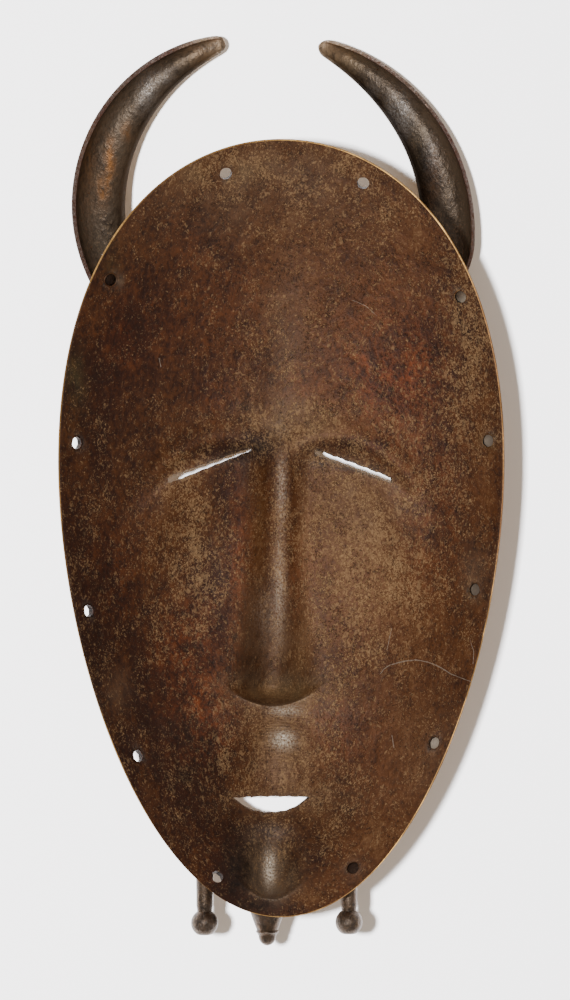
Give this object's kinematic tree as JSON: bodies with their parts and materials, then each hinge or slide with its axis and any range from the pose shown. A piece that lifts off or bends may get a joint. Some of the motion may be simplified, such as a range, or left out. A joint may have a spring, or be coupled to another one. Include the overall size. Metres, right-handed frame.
{
  "type": "horned mask",
  "caption": "Cast bronze face mask lying face down: hollow egg-shaped shell with slit eyes, long nose, open mouth, pierced rim, crescent horns, small legs and a beard.",
  "frame": {"origin": "centre of the bounding box in plan, on the surface that the mask lies on", "axes": "+Z out of the hollow side, away from the surface; +Y towards the horn tips; +X to the right when looking into the hollow with the horns up"},
  "size_m": [0.1654, 0.3428, 0.048],
  "materials": {
    "bronze": "dark reddish-brown cast patina with paler speckles, bare brass on the filed rim"
  },
  "bodies": {
    "root": {"mask": "bronze"}
  },
  "joints": []
}
